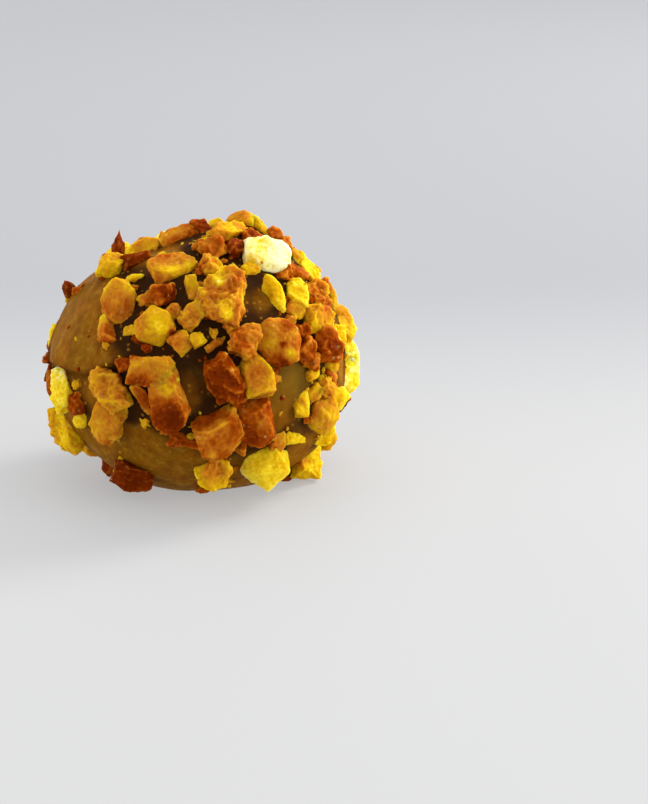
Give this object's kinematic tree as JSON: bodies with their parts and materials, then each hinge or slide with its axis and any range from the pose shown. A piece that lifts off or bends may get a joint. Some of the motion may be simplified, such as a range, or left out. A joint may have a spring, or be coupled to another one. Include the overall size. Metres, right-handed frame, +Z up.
{
  "type": "pistachio brigadeiro",
  "caption": "Hand-rolled ball of pistachio fudge with a coat of chopped roasted nuts and a small flat base that it rests on.",
  "frame": {"origin": "middle of the small flat base that the ball rests on, straight under the ball's middle", "axes": "+Z up from the table, +X to the right of the side that faces a person, +Y towards the back"},
  "size_m": [0.034, 0.0352, 0.0283],
  "materials": {
    "pistachio_fudge": "soft, slightly shiny cooked fudge, olive brown",
    "pale_nut": "dry chopped nut, cream to golden yellow",
    "roasted_nut": "dry roasted nut, orange tan to dark brown"
  },
  "bodies": {
    "root": {"brigadeiro": "pistachio_fudge"}
  },
  "joints": []
}
